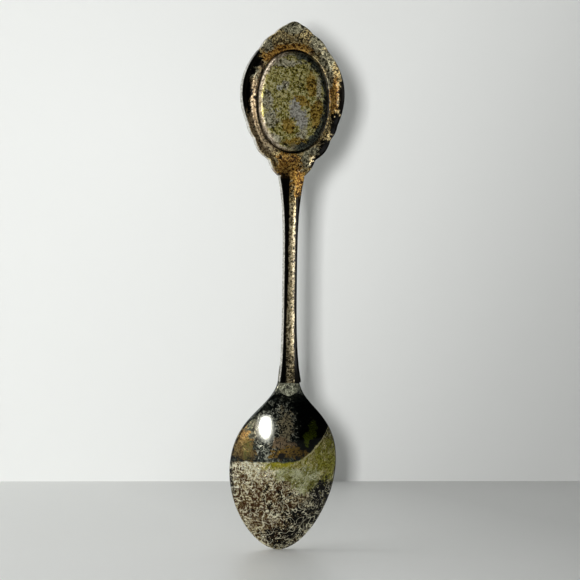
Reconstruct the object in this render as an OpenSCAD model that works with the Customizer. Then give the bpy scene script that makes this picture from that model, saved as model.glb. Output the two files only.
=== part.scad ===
// Souvenir teaspoon with a domed enamel emblem set in a scalloped finial.
// Millimetres. Z runs up the spoon from the bowl's tip, +Y is the emblem side,
// -Y is the plain back, and the spoon is symmetric about the plane X = 0.

/* [Bowl] */
// Greatest width of the bowl
bowl_w = 24; // [22:0.5:26]
// Height of the widest place above the tip
widest_z = 18.4; // [17.5:0.1:19.5]
// Depth of the bowl's back below its rim edge
bowl_depth = 4.7; // [4:0.1:5.4]
// Thickness of the bowl's sheet at its deepest place
bowl_gauge = 0.95; // [0.8:0.05:1.1]
// Height of the edge round the rim
rim_h = 0.7; // [0.6:0.05:0.9]

/* [Stem] */
// Width at the narrowest place
stem_w = 2.94; // [2.6:0.02:3.4]
// Thickness from the back to the front
stem_t = 2.3; // [2:0.05:2.4]
// Depth of the shallow channel along the back
channel_depth = 0.35; // [0.2:0.05:0.45]
// Height of the rounded ridge along the front
ridge_h = 0.45; // [0.3:0.05:0.6]

/* [Finial] */
// Greatest half-width of the scalloped plate
finial_half = 11.47; // [11.2:0.05:11.8]
// How far the plate's back is dished below its lip
dish = 0.8; // [0.5:0.05:0.85]
// Radial clearance between the cup's wall and the plate, filled with solder
cup_gap = 0.15; // [0.1:0.05:0.2]

/* [Emblem] */
// Half-width of the emblem cup's wall
cup_a = 7.9; // [7.7:0.05:8]
// Half-height of the emblem cup's wall
cup_b = 10.9; // [10.7:0.05:11]
// Thickness of the cup's wall
cup_wall = 0.8; // [0.6:0.05:0.9]
// Width of the metal lines between the enamel fields
line_w = 0.4; // [0.3:0.05:0.5]
// Height of the clear dome over the emblem
dome_h = 1.3; // [0.9:0.05:1.6]

/* [Hidden] */

// Levels along Z
neck_z = 38;      // the bowl's outline meets the stem's
lap_z = 36.6;     // lower end of the stem's half of the lap joint
tang_z = 40.4;    // upper end of the bowl's half of the lap joint
stem_top = 81.2;
root_z = 81.5;    // lower end of the finial plate
emblem_z = 97.6;  // centre of the emblem
finial_z = 115;

// Levels along Y, from the plane that halves the finial plate's thickness
base_y = -0.7;    // that plane, from the middle of the whole spoon's depth
lip_back = -1;    // edge of the plate, back side
seat_y = 0.9;     // the cup's collar rests on the plate here
boss_y = -1.2;    // flat back of the emblem cup
floor_y = -0.5;   // inside of the cup's floor
cup_top_y = 1.6;
cement_y = -0.35; // top of the cement
cell_y = 0.2;     // floor of the enamel cells
face_y = 0.6;     // top of the enamel and of the metal lines
solder_gap = 0.02;

// Finial plate
root_half = 2.8;
collar_w = 0.75;
plate_a = cup_a - cup_wall - 0.1;
plate_b = cup_b - cup_wall - 0.1;

bowl_cols = 14;
bowl_rows = 13;
stem_rows = 9;
arc_steps = 3;
oval_steps = 72;
oval_power = 2.2; // 2 is an ellipse, more is squarer

silver = "#a9a597";
tarnish = "#6f6248";
solder_grey = "#9aa094";

// Curves

function mix(a, b, t) = a + (b - a) * t;

function ease(t) = let (u = min(1, max(0, t))) u * u * (3 - 2 * u);

function bezier(p, t) =
    pow(1 - t, 3) * p[0] + 3 * t * pow(1 - t, 2) * p[1] + 3 * t * t * (1 - t) * p[2] + pow(t, 3) * p[3];

function stretch(points, z, i = 0) =
    i >= len(points) - 2 || z < points[i + 1][0] ? i : stretch(points, z, i + 1);

function slope(points, i) =
    let (a = points[max(0, i - 1)], b = points[min(len(points) - 1, i + 1)])
    (b[1] - a[1]) / (b[0] - a[0]);

// Value at z of a smooth curve through [z, value] points
function along(points, z) =
    let (i = stretch(points, z), p = points[i], q = points[i + 1], h = q[0] - p[0], t = (z - p[0]) / h)
    p[1] * (2 * t * t * t - 3 * t * t + 1) + slope(points, i) * h * (t * t * t - 2 * t * t + t)
    + q[1] * (3 * t * t - 2 * t * t * t) + slope(points, i + 1) * h * (t * t * t - t * t);

function signed_power(v, p) = sign(v) * pow(abs(v), p);

// Point of the oval with half-axes a and b, centred on the emblem
function oval_point(a, b, angle) = [
    a * signed_power(cos(angle), 2 / oval_power),
    emblem_z + b * signed_power(sin(angle), 2 / oval_power)
];

// Point where the ray at this angle from the emblem's centre leaves the oval
function oval_ray(a, b, angle) =
    let (across = pow(abs(cos(angle)) / a, oval_power), up = pow(abs(sin(angle)) / b, oval_power),
         r = pow(across + up, -1 / oval_power))
    [r * cos(angle), emblem_z + r * sin(angle)];

// Points of the arc from p to q whose middle stands out by the sagitta s, without q
function arc(p, q, s, n) =
    let (d = q - p, out = [d[1], -d[0]] / norm(d))
    [for (i = [0 : n - 1]) let (t = i / n) p + d * t + out * s * 4 * t * (1 - t)];

// Solid over a row of loops with equal point counts. A ring joins the last loop to the first.
module skin(loops, ring = false) {
    n = len(loops);
    m = len(loops[0]);
    middle = function (l) [for (k = [0 : 2]) min([for (p = l) p[k]]) + max([for (p = l) p[k]])] / 2;
    sides = [
        for (i = [0 : n - (ring ? 1 : 2)], j = [0 : m - 1])
            let (a = i * m + j, b = i * m + (j + 1) % m, up = ((i + 1) % n) * m)
                each [[a, up + (j + 1) % m, b], [a, up + j, up + (j + 1) % m]]
    ];
    caps = ring ? [] : [
        for (j = [0 : m - 1])
            each [[n * m, j, (j + 1) % m], [n * m + 1, (n - 1) * m + (j + 1) % m, (n - 1) * m + j]]
    ];
    ends = ring ? [] : [middle(loops[0]), middle(loops[n - 1])];
    polyhedron(concat([for (l = loops) each l], ends), concat(sides, caps));
}

// Places a shape drawn in the emblem's plane between two levels of Y
module from_to(y0, y1) {
    translate([0, y1, 0]) rotate([90, 0, 0]) linear_extrude(y1 - y0) children();
}

// Bowl

rim_at_lap = -0.5;
rim_at_tang = -0.05;

// Front edge of the bowl and neck, as [z, y]
rim_path = [
    [0, 4.75], [8, 4.2], [15, 3.05], [22, 1.6], [27, 0.4], [31, -0.45],
    [lap_z, rim_at_lap], [tang_z, rim_at_tang]
];

outline_low = [[0, 0], [0.458, 0], [1, 0.51], [1, 1]];
outline_high = [
    [bowl_w / 2, widest_z], [bowl_w / 2, widest_z + 12], [2.5, widest_z + 12.8], [2.25, neck_z]
];
tip_share = 0.045; // the outline starts this far along, so that the tip is a short flat edge

// Half-width and height of each row of the bowl, from the tip to the end of the tang
bowl_stations = [
    for (i = [0 : bowl_rows - 1])
        let (p = bezier(outline_low, mix(tip_share, 1, pow(i / bowl_rows, 1.15))))
        [p[0] * bowl_w / 2, (p[1] - bezier(outline_low, tip_share)[1]) * widest_z],
    for (i = [0 : bowl_rows]) bezier(outline_high, i / bowl_rows),
    [1.98, tang_z]
];

lap_t = 1.05; // thickness of the tang

// The lap joint's plane
function lap_y(z) = mix(rim_at_lap, rim_at_tang, (z - lap_z) / (tang_z - lap_z)) - lap_t;

deepest_z = widest_z - 1.4;
hollow_top = 34.6;    // the hollow runs out here
blend_z = 33.5;       // the bowl's back starts to flatten into the tang here

// Depth at height z as a share of the greatest depth
function depth_share(z) =
    z >= hollow_top ? 0
    : z < deepest_z ? 1 - pow((deepest_z - z) / deepest_z, 2)
    : pow(1 - pow((z - deepest_z) / (hollow_top - deepest_z), 2), 1.3);

// Back of the bowl piece at height z, at a share s of its half-width
function bowl_back(z, s) =
    mix(along(rim_path, z) - rim_h - bowl_depth * depth_share(z) * (1 - s * s), lap_y(z),
        ease((z - blend_z) / (lap_z - blend_z)));

rim_flat = 0.5; // width of the rim's front edge

function bowl_loop(w, z) =
    let (y = along(rim_path, z), edge = min(rim_flat, 0.45 * w),
         d = max(0, bowl_depth * depth_share(z) + rim_h - bowl_gauge))
    [
        for (j = [0 : bowl_cols]) let (s = 2 * j / bowl_cols - 1) [w * s, bowl_back(z, s), z],
        [w, y, z],
        for (j = [bowl_cols : -1 : 0])
            let (s = 2 * j / bowl_cols - 1) [(w - edge) * s, y - d * (1 - s * s), z],
        [-w, y, z]
    ];

module bowl() {
    color(silver) translate([0, base_y, 0])
        skin([for (p = bowl_stations) bowl_loop(p[0], p[1])]);
}

// Wedge of solder that fills the step between the stem's end and the bowl's back
solder_low_z = 34.2;
solder_low_half = 2.3;
solder_high_half = 2.1;

module bowl_solder() {
    n = 5;
    feather = 0.12;
    top_y = stem_mid(lap_z) - stem_t / 2 + 0.15;
    loops = [
        for (i = [0 : n])
            let (t = i / n, z = mix(solder_low_z, lap_z, t),
                 w = mix(solder_low_half, solder_high_half, t),
                 inner = bowl_back(z, 0) - solder_gap, outer = mix(inner - feather, top_y, ease(t)))
            [for (k = [-3 : 3]) [w * k / 3, mix(outer, inner, pow(abs(k / 3), 4) * 0.6), z],
             for (k = [3 : -1 : -3]) [w * k / 3, inner, z]]
    ];
    color(solder_grey) translate([0, base_y, 0]) skin(loops);
}

// Stem

// Middle of the stem's thickness, as [z, y]
stem_path = [
    [lap_z, rim_at_lap - stem_t / 2], [tang_z, rim_at_tang - stem_t / 2],
    [46, -0.7], [56, -0.25], [66, -0.05], [75, 0.03], [root_z, 0.05]
];
function stem_mid(z) = along(stem_path, z);

stem_low = [[2.55, lap_z], [1.75, 39.6], [stem_w / 2, 46], [stem_w / 2, 55]];
stem_high = [[stem_w / 2, 62], [stem_w / 2, 70], [1.6, 75.5], [root_half, stem_top]];

// Back surface at a share s of the half-width, and front surface likewise
function channel(s) = channel_depth * pow(1 - s * s, 1.5);
function ridge(s) = ridge_h * pow(1 - abs(s), 0.8);

stem_cols = 8;
back_chamfer = [0.12, 0.25];  // across, and along the thickness
front_chamfer = [0.3, 0.6];

function stem_loop(w, z) =
    let (y = stem_mid(z), back = y - stem_t / 2, front = y + stem_t / 2)
    [
        for (j = [0 : stem_cols])
            let (s = 2 * j / stem_cols - 1) [(w - back_chamfer[0]) * s, back + channel(s), z],
        [w, back + back_chamfer[1], z],
        [w, front - front_chamfer[1], z],
        for (j = [stem_cols : -1 : 0])
            let (s = 2 * j / stem_cols - 1) [(w - front_chamfer[0]) * s, front - ridge_h + ridge(s), z],
        [-w, front - front_chamfer[1], z],
        [-w, back + back_chamfer[1], z]
    ];

module stem() {
    stations = [
        for (i = [0 : stem_rows]) bezier(stem_low, i / stem_rows),
        for (i = [0 : stem_rows]) bezier(stem_high, i / stem_rows)
    ];
    below = lap_z - 1;
    front = 4;
    step = [[lap_y(below), below], [front, below], [front, tang_z], [lap_y(tang_z), tang_z]];
    color(tarnish) translate([0, base_y, 0]) difference() {
        skin([for (p = stations) stem_loop(p[0], p[1])]);
        // The bowl's tang lies in this step
        rotate([90, 0, 90]) translate([0, 0, -root_half]) linear_extrude(2 * root_half) polygon(step);
    }
}

// Thin seam that follows the stem's section, a little inside it
module finial_solder() {
    mid = stem_mid(stem_top);
    share = [0.97, 0.94];
    color(solder_grey) translate([0, base_y, 0])
        skin([
            for (z = [stem_top, root_z])
                [for (p = stem_loop(root_half, stem_top)) [p[0] * share[0], mix(mid, p[1], share[1]), z]]
        ]);
}

// Finial

// Right half of the scalloped outline: corners between the lobes, and each lobe's sagitta
shoulder = [1.6, 114.3];
lobe_corners = [
    [root_half, root_z], [5.13, 85], [8.54, 89.5], [10.1, 92.7], [7.43, 109.1], [4.18, 112.3], shoulder
];
side_lobe = 3; // the long lobe beside the emblem
lobe_bulge = [0.4, 0.7, 0.3, finial_half - 8.82, 0.45, 0.25];

right_outline = [
    for (i = [0 : len(lobe_bulge) - 1])
        let (steps = i == side_lobe ? 4 * arc_steps : arc_steps)
            each arc(lobe_corners[i], lobe_corners[i + 1], lobe_bulge[i], steps),
    shoulder, [0.8, 114.8], [0, finial_z]
];
mirrored = [for (i = [len(right_outline) - 2 : -1 : 0]) [-right_outline[i][0], right_outline[i][1]]];
root_line = [for (x = [-root_half / 2, 0, root_half / 2]) [x, root_z]];
finial_outline = concat(right_outline, mirrored, root_line);

// Shares of the way from the plate's opening to its edge
dish_from = 0.5;
dish_to = 0.88;
seat_to = 0.3;

petal_h = 0.6; // height of the crown between the seat and the edge, in front
edge_h = 0.2;  // the edge's own height in front

// Level of the back and of the front of the plate, at a share r of the way out
function plate_back(r, lip) =
    mix(lip_back + dish, lip, ease((r - dish_from) / (dish_to - dish_from)));
function plate_front(r) =
    seat_y + (r < seat_to ? 0 : petal_h * sin(180 * (r - seat_to) / (1 - seat_to))) + (r < 1 ? 0 : edge_h);

function plate_section(p) =
    let (hole = oval_ray(cup_a + cup_gap, cup_b + cup_gap, atan2(p[1] - emblem_z, p[0])),
         at_root = abs(p[0]) < root_half && p[1] < root_z + 0.01,
         lip = lip_back + (at_root ? channel(p[0] / root_half) : 0),
         at = function (r, y) let (q = mix(hole, p, r)) [q[0], y, q[1]])
    [
        for (r = [0, 0.25, dish_from, 0.7, dish_to, 1]) at(r, plate_back(r, lip)),
        for (r = [1, 0.85, 0.65, 0.45, seat_to, 0]) at(r, plate_front(r))
    ];

module finial_frame() {
    color(tarnish) translate([0, base_y, 0])
        skin([for (p = finial_outline) plate_section(p)], ring = true);
}

// Loop of the oval with half-axes grown by the offset d, at level y
function oval_loop(d, y, a = cup_a, b = cup_b) = [
    for (i = [oval_steps - 1 : -1 : 0])
        let (p = oval_point(a + d, b + d, 360 * i / oval_steps)) [p[0], y, p[1]]
];

// Ring of solder in the gap, a little short of it on every side
module cup_solder() {
    low = lip_back + dish + 0.05;
    high = seat_y - 0.1;
    inner = solder_gap;
    outer = cup_gap - 0.03;
    color(solder_grey) translate([0, base_y, 0])
        skin([
            for (i = [0 : oval_steps - 1])
                let (angle = 360 * i / oval_steps,
                     p = oval_point(cup_a + inner, cup_b + inner, angle),
                     q = oval_point(cup_a + outer, cup_b + outer, angle))
                [[p[0], low, p[1]], [q[0], low, q[1]], [q[0], high, q[1]], [p[0], high, p[1]]]
        ], ring = true);
}

// Cup whose floor shows as the oval boss on the back, with a collar and a rolled lip in front
module emblem_cup() {
    outside = [
        [-0.95, boss_y], [-0.6, boss_y + 0.08], [-0.25, boss_y + 0.3], [0, boss_y + 0.75], [0, seat_y],
        [collar_w, seat_y], [collar_w, seat_y + 0.35], [collar_w - 0.35, cup_top_y - 0.1],
        [0, cup_top_y], [-cup_wall, cup_top_y - 0.25], [-cup_wall, floor_y]
    ];
    color(silver) translate([0, base_y, 0]) skin([for (p = outside) oval_loop(p[0], p[1])]);
}

// Emblem: a mountain between two hills above a lake, with the sun over the peak

module oval(inset = 0) {
    a = plate_a - inset;
    b = plate_b - inset;
    polygon([for (i = [0 : oval_steps - 1]) oval_point(a, b, 360 * i / oval_steps)]);
}

shore_z = emblem_z - 3;
sun_z = emblem_z + 6.3;
sun_r = 1.5;
beyond = 7.2;  // past the emblem's side
ridge_line = [[beyond, -0.4], [4.6, 1.7], [2.7, 0.2], [0, 3.9]];

function skyline(d) = [
    for (p = ridge_line) [p[0], emblem_z + p[1] + d],
    for (i = [len(ridge_line) - 2 : -1 : 0]) [-ridge_line[i][0], emblem_z + ridge_line[i][1] + d]
];

module above_hills(d = 0) {
    polygon(concat(skyline(d), [[-beyond, finial_z], [beyond, finial_z]]));
}

module sun_cell() {
    translate([0, sun_z]) circle(sun_r, $fn = 48);
}

module sky_cell() {
    difference() {
        intersection() {
            oval(line_w);
            above_hills(line_w / 2);
        }
        translate([0, sun_z]) circle(sun_r + line_w, $fn = 48);
    }
}

module hills_cell() {
    difference() {
        oval(line_w);
        above_hills(-line_w / 2);
        translate([-cup_b, shore_z - 2 * cup_b + line_w / 2]) square(2 * cup_b);
    }
}

module water_cell() {
    difference() {
        oval(line_w);
        translate([-cup_b, shore_z - line_w / 2]) square(2 * cup_b);
    }
}

module emblem_cement() {
    color("#c9c2a8") translate([0, base_y, 0]) from_to(floor_y, cement_y) oval();
}

module emblem_plate() {
    color("#c2a253") translate([0, base_y, 0]) {
        difference() {
            from_to(cement_y, face_y) oval();
            from_to(cell_y, face_y + 1) sky_cell();
            from_to(cell_y, face_y + 1) sun_cell();
            from_to(cell_y, face_y + 1) hills_cell();
            from_to(cell_y, face_y + 1) water_cell();
        }
    }
}

module enamel(colour) {
    color(colour) translate([0, base_y, 0]) from_to(cell_y, face_y) children();
}

module enamel_sky() {
    enamel("#7db4d6") sky_cell();
}

module enamel_sun() {
    enamel("#e3a62b") sun_cell();
}

module enamel_hills() {
    enamel("#4f7d46") hills_cell();
}

module enamel_water() {
    enamel("#1f5b8c") water_cell();
}

module emblem_dome() {
    rings = 5;
    last = 84; // degrees up the dome's curve, where a small flat closes it
    foot = face_y + 0.1;
    loops = [
        for (i = [0 : rings])
            let (angle = last * i / rings, y = foot + dome_h * sin(angle) / sin(last))
            oval_loop(0, y, plate_a * cos(angle), plate_b * cos(angle))
    ];
    color("#ffffff", 0.35) translate([0, base_y, 0])
        skin(concat([oval_loop(0, face_y, plate_a, plate_b)], loops));
}

bowl();
bowl_solder();
stem();
finial_solder();
finial_frame();
cup_solder();
emblem_cup();
emblem_cement();
emblem_plate();
enamel_sky();
enamel_sun();
enamel_hills();
enamel_water();
emblem_dome();
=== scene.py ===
"""Looks of the souvenir spoon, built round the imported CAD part. Lengths are in mm until a mesh is made."""

import math

import bpy
from mathutils import Matrix, Vector


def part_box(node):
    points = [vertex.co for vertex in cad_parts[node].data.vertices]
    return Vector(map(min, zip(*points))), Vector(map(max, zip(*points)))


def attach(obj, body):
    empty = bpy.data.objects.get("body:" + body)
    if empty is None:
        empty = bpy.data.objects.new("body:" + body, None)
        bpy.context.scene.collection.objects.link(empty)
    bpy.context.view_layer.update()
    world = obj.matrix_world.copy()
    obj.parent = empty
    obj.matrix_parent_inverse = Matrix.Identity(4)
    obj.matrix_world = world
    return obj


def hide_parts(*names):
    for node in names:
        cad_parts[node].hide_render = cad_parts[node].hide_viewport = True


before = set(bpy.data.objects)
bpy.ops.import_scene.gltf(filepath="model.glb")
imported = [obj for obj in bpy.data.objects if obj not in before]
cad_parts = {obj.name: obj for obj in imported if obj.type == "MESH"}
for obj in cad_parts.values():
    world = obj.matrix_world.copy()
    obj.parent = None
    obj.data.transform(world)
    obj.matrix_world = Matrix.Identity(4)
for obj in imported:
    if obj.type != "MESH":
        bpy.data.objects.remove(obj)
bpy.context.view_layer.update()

MM = 0.001


# --- Levels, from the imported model's boxes ---


def box_mm(node):
    lo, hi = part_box(node)
    return lo / MM, hi / MM


bowl_lo, bowl_hi = box_mm("bowl")
stem_lo, stem_hi = box_mm("stem")
plate_lo, plate_hi = box_mm("finial_frame")
cup_lo, cup_hi = box_mm("emblem_cup")
dome_lo, dome_hi = box_mm("emblem_dome")

LAP_Z = stem_lo.z
TANG_Z = bowl_hi.z
STEM_TOP = stem_hi.z
ROOT_Z = plate_lo.z
TOP_Z = plate_hi.z
EMBLEM_Z = (cup_lo.z + cup_hi.z) / 2
BOWL_HALF = bowl_hi.x
ROOT_HALF = stem_hi.x
PLATE_HALF = plate_hi.x
LIP_BACK = plate_lo.y
BOSS_BACK = cup_lo.y
CUP_FRONT = cup_hi.y
MID_Y = LIP_BACK + 1.0  # the plane that halves the finial plate's thickness
COLLAR = 0.75
CUP_A = cup_hi.x - COLLAR
CUP_B = (cup_hi.z - cup_lo.z) / 2 - COLLAR


# --- Curves ---


def mix(a, b, t):
    return a + (b - a) * t


def ease(t):
    t = min(1.0, max(0.0, t))
    return t * t * (3 - 2 * t)


def bezier(p, t):
    w = ((1 - t) ** 3, 3 * t * (1 - t) ** 2, 3 * t * t * (1 - t), t**3)
    return tuple(sum(w[k] * p[k][c] for k in range(4)) for c in (0, 1))


def along(points, z):
    """Value at z of a smooth curve through (z, value) points."""
    i = 0
    while i < len(points) - 2 and z >= points[i + 1][0]:
        i += 1

    def slope(k):
        a, b = points[max(0, k - 1)], points[min(len(points) - 1, k + 1)]
        return (b[1] - a[1]) / (b[0] - a[0])

    (z0, p), (z1, q) = points[i], points[i + 1]
    h = z1 - z0
    t = (z - z0) / h
    return (
        p * (2 * t**3 - 3 * t * t + 1)
        + slope(i) * h * (t**3 - 2 * t * t + t)
        + q * (3 * t * t - 2 * t**3)
        + slope(i + 1) * h * (t**3 - t * t)
    )


def oval(a, b, angle, power=2.2):
    c, s = math.cos(angle), math.sin(angle)
    return (
        a * math.copysign(abs(c) ** (2 / power), c),
        EMBLEM_Z + b * math.copysign(abs(s) ** (2 / power), s),
    )


def oval_ray(a, b, angle, power=2.2):
    """Where the ray at this angle from the emblem's centre leaves the oval."""
    c, s = math.cos(angle), math.sin(angle)
    r = (abs(c / a) ** power + abs(s / b) ** power) ** (-1 / power)
    return r * c, EMBLEM_Z + r * s


# --- Meshes ---


def make_object(name, verts, faces, smooth_levels=0):
    mesh = bpy.data.meshes.new(name)
    mesh.from_pydata([[c * MM for c in v] for v in verts], [], faces)
    mesh.update()
    mesh.shade_smooth()
    obj = bpy.data.objects.new(name, mesh)
    bpy.context.scene.collection.objects.link(obj)
    if smooth_levels:
        mod = obj.modifiers.new("smooth", "SUBSURF")
        mod.levels = mod.render_levels = smooth_levels
    return obj


def skin(name, loops, ring=False, smooth_levels=1):
    """Closed surface over loops with equal point counts. A ring joins the last loop to the first."""
    n, m = len(loops), len(loops[0])
    verts = [p for loop in loops for p in loop]
    faces = []
    for i in range(n if ring else n - 1):
        a, b = i * m, (i + 1) % n * m
        faces += [(a + j, a + (j + 1) % m, b + (j + 1) % m, b + j) for j in range(m)]
    if not ring:
        for start, step in ((0, -1), ((n - 1) * m, 1)):
            loop = verts[start : start + m]
            centre = tuple((min(p[c] for p in loop) + max(p[c] for p in loop)) / 2 for c in range(3))
            verts.append(centre)
            for j in range(m):
                pair = (start + j, start + (j + 1) % m)
                faces.append((*pair[::step], len(verts) - 1))
    obj = make_object(name, verts, faces, smooth_levels)
    if signed_volume(verts, faces) < 0:
        obj.data.flip_normals()
    return obj


def signed_volume(verts, faces):
    total = 0.0
    for f in faces:
        a = Vector(verts[f[0]])
        for k in range(1, len(f) - 1):
            total += a.dot(Vector(verts[f[k]]).cross(Vector(verts[f[k + 1]])))
    return total


def place(obj, node, material):
    obj.data.materials.append(material)
    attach(obj, "root")
    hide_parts(node)


# --- Node materials ---


class Shader:
    """A node tree in the making. Coordinates are the object's, in mm."""

    def __init__(self, name):
        self.material = bpy.data.materials.new(name)
        self.material.use_nodes = True
        self.tree = self.material.node_tree
        self.bsdf = self.tree.nodes["Principled BSDF"]
        self.output = self.tree.nodes["Material Output"]
        coords = self.add("ShaderNodeTexCoord").outputs["Object"]
        self.at = self.vector("SCALE", coords, scale=1 / MM)

    def add(self, kind, **settings):
        node = self.tree.nodes.new(kind)
        for key, value in settings.items():
            setattr(node, key, value)
        return node

    def put(self, socket, value):
        if isinstance(value, bpy.types.NodeSocket):
            self.tree.links.new(value, socket)
        elif value is not None:
            socket.default_value = value

    def vector(self, operation, a, b=None, scale=None):
        node = self.add("ShaderNodeVectorMath", operation=operation)
        self.put(node.inputs[0], a)
        if b is not None:
            self.put(node.inputs[1], b)
        if scale is not None:
            self.put(node.inputs["Scale"], scale)
        return node.outputs["Value" if operation == "LENGTH" else "Vector"]

    def math(self, operation, a, b=0.0, clamp=False):
        node = self.add("ShaderNodeMath", operation=operation, use_clamp=clamp)
        self.put(node.inputs[0], a)
        self.put(node.inputs[1], b)
        return node.outputs[0]

    def both(self, first, *others):
        """1 where all of these shares are 1."""
        for other in others:
            first = self.math("MULTIPLY", first, other)
        return first

    def either(self, first, *others):
        """The greatest of these shares."""
        for other in others:
            first = self.math("MAXIMUM", first, other)
        return first

    def inverse(self, share):
        return self.span(share, 1.0, 0.0)

    def map_range(self, value, side, low, high, **settings):
        node = self.add("ShaderNodeMapRange", **settings)
        self.put(node.inputs["Value"], value)
        self.put(node.inputs[f"{side} Min"], low)
        self.put(node.inputs[f"{side} Max"], high)
        return node.outputs["Result"]

    def step(self, value, low, high):
        """0 at low, 1 at high, smooth between; low may be the greater."""
        return self.map_range(value, "From", low, high, interpolation_type="SMOOTHSTEP")

    def step_along(self, value, low, high):
        """0 at low, 1 at high, straight between."""
        return self.map_range(value, "From", low, high)

    def span(self, value, low, high):
        """Takes 0..1 to low..high."""
        return self.map_range(value, "To", low, high)

    def noise(self, size, detail=3.0, rough=0.6, warp=0.0, at=None):
        """Noise whose features are about this many mm across."""
        node = self.add("ShaderNodeTexNoise")
        self.put(node.inputs["Vector"], at or self.at)
        self.put(node.inputs["Scale"], 1 / size)
        self.put(node.inputs["Detail"], detail)
        self.put(node.inputs["Roughness"], rough)
        self.put(node.inputs["Distortion"], warp)
        return node.outputs["Fac"]

    def wobble(self, size, reach):
        """The coordinates, moved about by up to this many mm."""
        node = self.add("ShaderNodeTexNoise")
        self.put(node.inputs["Vector"], self.at)
        self.put(node.inputs["Scale"], 1 / size)
        self.put(node.inputs["Detail"], 4.0)
        centred = self.vector("SUBTRACT", node.outputs["Color"], (0.5, 0.5, 0.5))
        return self.vector("ADD", self.at, self.vector("SCALE", centred, scale=2 * reach))

    def oval_length(self, x, z, rx, rz, at=None):
        """Distance from (x, z), 1 on the oval of these half-sizes."""
        away = self.vector("SUBTRACT", at or self.at, (x, 0, z))
        return self.vector("LENGTH", self.vector("MULTIPLY", away, (1 / rx, 0, 1 / rz)))

    def blob(self, x, z, rx, rz, soft, at=None):
        """1 inside the oval round (x, z), 0 outside, fading over this share of its radius."""
        return self.step(self.oval_length(x, z, rx, rz, at), 1 + soft / 2, 1 - soft / 2)

    def part(self, axis, at=None):
        node = self.add("ShaderNodeSeparateXYZ")
        self.put(node.inputs[0], at or self.at)
        return node.outputs[axis]

    def blend(self, share, a, b):
        node = self.add("ShaderNodeMix", data_type="RGBA")
        self.put(node.inputs["Factor"], share)
        colours = [s for s in node.inputs if s.type == "RGBA"]
        for socket, value in zip(colours, (a, b)):
            self.put(socket, value if isinstance(value, bpy.types.NodeSocket) else (*value, 1.0))
        return [s for s in node.outputs if s.type == "RGBA"][0]

    def ramp(self, value, *stops):
        """Colour along (position, colour) stops."""
        node = self.add("ShaderNodeValToRGB")
        self.put(node.inputs["Fac"], value)
        elements = node.color_ramp.elements
        while len(elements) < len(stops):
            elements.new(1.0)
        for element, (position, colour) in zip(elements, stops):
            element.position = position
            element.color = (*colour, 1.0)
        return node.outputs["Color"]

    def worms(self, size, width, seed, detail=2.0, warp=1.0):
        """Thin wandering lines, about this many mm apart."""
        at = self.vector("ADD", self.at, (seed, seed, seed))
        away = self.math("ABSOLUTE", self.math("SUBTRACT", self.noise(size, detail, 0.55, warp, at), 0.5))
        return self.step(away, width, self.math("MULTIPLY", width, 0.3))

    def ragged(self, x, z, rx, rz, tears):
        """1 inside an oval patch whose edge is torn by this noise, 0 outside."""
        depth = self.math("SUBTRACT", self.math("MULTIPLY", tears, 3.0), self.oval_length(x, z, rx, rz))
        return self.step(depth, 0.42, 0.58)

    def patches(self, tears, *ovals):
        """1 inside any of these torn patches, each given as (x, z, half-width, half-height)."""
        return self.either(*(self.ragged(*oval, tears) for oval in ovals))

    def facing(self, axis):
        """The surface's own direction along one axis, -1..1."""
        return self.part(axis, self.add("ShaderNodeTexCoord").outputs["Normal"])

    def bump(self, height, depth):
        """A bump this many mm deep."""
        node = self.add("ShaderNodeBump")
        self.put(node.inputs["Strength"], 1.0)
        self.put(node.inputs["Distance"], depth * MM)
        self.put(node.inputs["Height"], height)
        return node.outputs["Normal"]

    def mix_surfaces(self, share, a, b):
        """Puts a mixture of two surfaces on the output."""
        node = self.add("ShaderNodeMixShader")
        for socket, value in zip(node.inputs, (share, a, b)):
            self.put(socket, value)
        self.put(self.output.inputs["Surface"], node.outputs[0])

    def set(self, **sockets):
        for name, value in sockets.items():
            socket = self.bsdf.inputs[name.replace("_", " ")]
            self.put(socket, (*value, 1.0) if isinstance(value, tuple) and len(value) == 3 else value)
        return self.material


BLACK = (0.006, 0.005, 0.004)
SOOT_AND_SHADE_COLOUR = (0.004, 0.0035, 0.003)

# Tones are (noise, colour) stops, which a speckled surface runs through. Tones of the bowl, whose pale and
# near-black tones also paint its reflections:
CREAM_TONES = ((0.42, (0.3, 0.24, 0.11)), (0.49, (0.92, 0.84, 0.54)), (0.56, (1.0, 0.98, 0.8)))
TAN_TONES = ((0.44, (0.05, 0.03, 0.01)), (0.5, (0.56, 0.43, 0.21)), (0.56, (1.0, 0.94, 0.68)))
MOSS_TONES = ((0.42, (0.12, 0.11, 0.008)), (0.5, (0.34, 0.32, 0.03)), (0.57, (0.52, 0.49, 0.12)))
DRY_MOSS_TONES = ((0.42, (0.2, 0.17, 0.03)), (0.5, (0.52, 0.46, 0.14)), (0.57, (0.78, 0.72, 0.36)))
BARE_TONES = ((0.43, (0.26, 0.25, 0.06)), (0.5, (0.42, 0.42, 0.17)), (0.57, (0.66, 0.66, 0.38)))
DARK_REFLECTION_TONES = ((0.44, (0.002, 0.003, 0.003)), (0.53, (0.025, 0.035, 0.03)), (0.6, (0.12, 0.14, 0.11)))
FOG_TONES = ((0.45, (0.004, 0.005, 0.004)), (0.51, (0.07, 0.075, 0.058)), (0.58, (0.42, 0.43, 0.35)))
WARM_REFLECTION_TONES = ((0.4, (0.06, 0.035, 0.01)), (0.48, (0.17, 0.105, 0.03)), (0.6, (0.3, 0.22, 0.09)))
NECK_TONES = ((0.46, (0.002, 0.003, 0.003)), (0.62, (0.05, 0.065, 0.055)))
TANG_TONES = ((0.44, (0.006, 0.005, 0.004)), (0.58, (0.3, 0.24, 0.14)))
LINING_TONES = ((0.42, (0.24, 0.2, 0.1)), (0.5, (0.5, 0.46, 0.33)), (0.58, (0.7, 0.67, 0.55)))

# Below this line the bowl's back carries a painted reflection of the pale table under its tarnish, above it a
# near-black painted reflection of the dark room. To the right of this x the line rises as a parabola. All in
# mm
REFLECTION_LINE_Z = 19.4
RISE_FROM_X = -0.3
RISE = 0.082


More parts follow.
